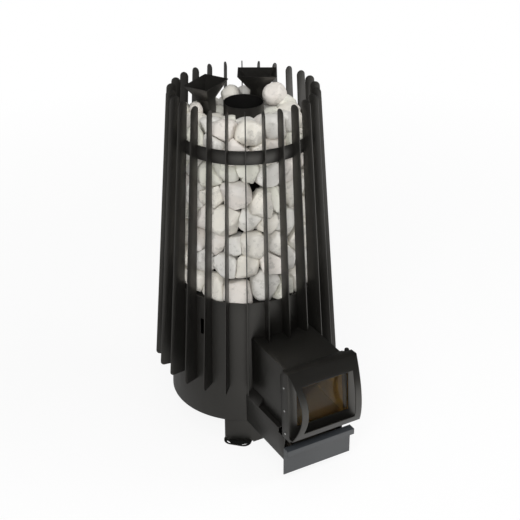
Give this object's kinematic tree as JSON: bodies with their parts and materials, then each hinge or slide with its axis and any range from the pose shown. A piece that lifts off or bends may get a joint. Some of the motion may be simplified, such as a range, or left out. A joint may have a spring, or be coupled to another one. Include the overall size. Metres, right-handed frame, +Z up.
{
  "type": "sauna heater stove",
  "caption": "Wood-fired sauna stove: round drum under a tapered cage of upright fins filled with stones, with a fire tunnel, a glazed swing door, an ash drawer, a flue collar and water funnels.",
  "frame": {"origin": "on the floor, under the middle of the whole stove's box", "axes": "+Z up; the door and the ash drawer face -Y; +X to the right of someone facing the door; the drum's axis stands at y = 0.1133 m"},
  "size_m": [0.5592, 0.7831, 1.067],
  "materials": {
    "black_paint": "satin heat-resistant black on sheet steel",
    "grey_paint": "satin heat-resistant grey on sheet steel",
    "foot_black": "semi-gloss black",
    "bare_steel": "unpainted, heat-tinted",
    "cast_iron": "rough as cast",
    "amber_glass": "tinted heat-proof glass",
    "rope": "braided heat-proof rope",
    "pale_stone": "rough broken rock"
  },
  "bodies": {
    "stove": {"drum": "black_paint", "base_plate": "black_paint", "leg_front_left": "black_paint", "leg_front_right": "black_paint", "leg_rear_left": "black_paint", "leg_rear_right": "black_paint", "foot_front_left": "foot_black", "foot_front_right": "foot_black", "foot_rear_left": "foot_black", "foot_rear_right": "foot_black", "fin_01": "black_paint", "fin_02": "black_paint", "fin_03": "black_paint", "fin_04": "black_paint", "fin_05": "black_paint", "fin_06": "black_paint", "fin_07": "black_paint", "fin_08": "black_paint", "fin_09": "black_paint", "fin_10": "black_paint", "fin_11": "black_paint", "fin_12": "black_paint", "fin_13": "black_paint", "fin_14": "black_paint", "fin_15": "black_paint", "fin_16": "black_paint", "fin_17": "black_paint", "fin_18": "black_paint", "fin_19": "black_paint", "fin_20": "black_paint", "fin_21": "black_paint", "fin_22": "black_paint", "fin_23": "black_paint", "fin_24": "black_paint", "fin_25": "black_paint", "fin_26": "black_paint", "cage_band": "black_paint", "firebox_shell": "bare_steel", "firebox_floor": "bare_steel", "grate": "cast_iron", "firebox_crown": "bare_steel", "flue_pipe": "black_paint", "stone_shelf": "bare_steel", "fuel_tunnel": "black_paint", "ash_channel": "black_paint", "door_surround": "black_paint", "hinge_pin_upper": "bare_steel", "hinge_pin_lower": "bare_steel", "funnel_left": "black_paint", "funnel_right": "black_paint", "stones_lower": "pale_stone", "stones_upper": "pale_stone", "stones_top": "pale_stone"},
    "door": {"door_leaf": "black_paint", "door_glass": "amber_glass", "glass_retainer": "bare_steel", "door_seal": "rope", "door_bow": "black_paint"},
    "ash_drawer": {"ash_tray": "bare_steel", "ash_drawer_front": "grey_paint"}
  },
  "joints": [
    {"name": "door_hinge", "type": "hinge", "parent": "stove", "child": "door", "pos_m": [0.113, -0.28886, 0.26712], "axis": [0, 0.0698, 0.9976], "range_deg": [0, 115]},
    {"name": "ash_drawer_slide", "type": "slide", "parent": "stove", "child": "ash_drawer", "axis": [0, -1, 0], "range_m": [0, 0.4]}
  ]
}
